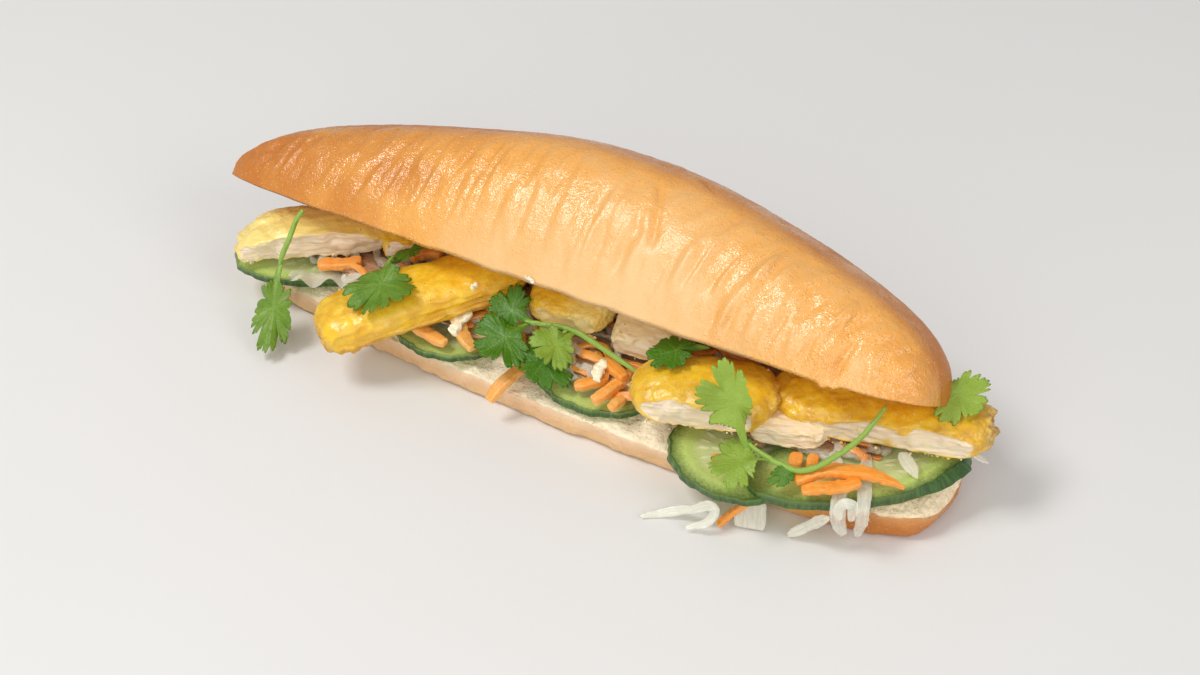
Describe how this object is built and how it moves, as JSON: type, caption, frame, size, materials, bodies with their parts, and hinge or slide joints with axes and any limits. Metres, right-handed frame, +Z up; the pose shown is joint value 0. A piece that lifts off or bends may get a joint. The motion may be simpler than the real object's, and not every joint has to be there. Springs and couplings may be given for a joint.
{
  "type": "banh mi sandwich",
  "caption": "Banh mi: a long crusty roll opened at the front and filled with sliced chicken, cucumber, pickled carrot and daikon, and coriander leaves.",
  "frame": {"origin": "on the flat underside of the lower half of the roll, under the middle of its length", "axes": "+X along the roll towards its blunt right end, -Y towards the open side with the filling, +Z up"},
  "size_m": [0.2852, 0.1001, 0.0797],
  "materials": {
    "crust": null,
    "cucumber": null,
    "chicken": null,
    "slaw": null,
    "carrot": null,
    "daikon": null,
    "coriander": null
  },
  "bodies": {
    "root": {"bread_bottom": "crust", "bread_top": "crust", "cucumber_1": "cucumber", "cucumber_2": "cucumber", "cucumber_3": "cucumber", "cucumber_4": "cucumber", "cucumber_5": "cucumber", "chicken_1": "chicken", "chicken_2": "chicken", "chicken_3": "chicken", "chicken_4": "chicken", "chicken_5": "chicken", "chicken_6": "chicken", "chicken_7": "chicken", "chicken_8": "chicken", "slaw": "slaw", "carrot_1": "carrot", "carrot_2": "carrot", "carrot_3": "carrot", "carrot_4": "carrot", "carrot_5": "carrot", "carrot_6": "carrot", "carrot_7": "carrot", "carrot_8": "carrot", "carrot_9": "carrot", "carrot_10": "carrot", "carrot_11": "carrot", "carrot_12": "carrot", "carrot_13": "carrot", "carrot_14": "carrot", "carrot_15": "carrot", "daikon_1": "daikon", "daikon_2": "daikon", "daikon_3": "daikon", "daikon_4": "daikon", "daikon_5": "daikon", "daikon_6": "daikon", "daikon_7": "daikon", "daikon_8": "daikon", "daikon_9": "daikon", "daikon_10": "daikon", "cabbage": "daikon", "coriander_1": "coriander", "coriander_2": "coriander", "coriander_3": "coriander", "coriander_4": "coriander", "coriander_5": "coriander", "coriander_6": "coriander", "coriander_7": "coriander"}
  },
  "joints": []
}
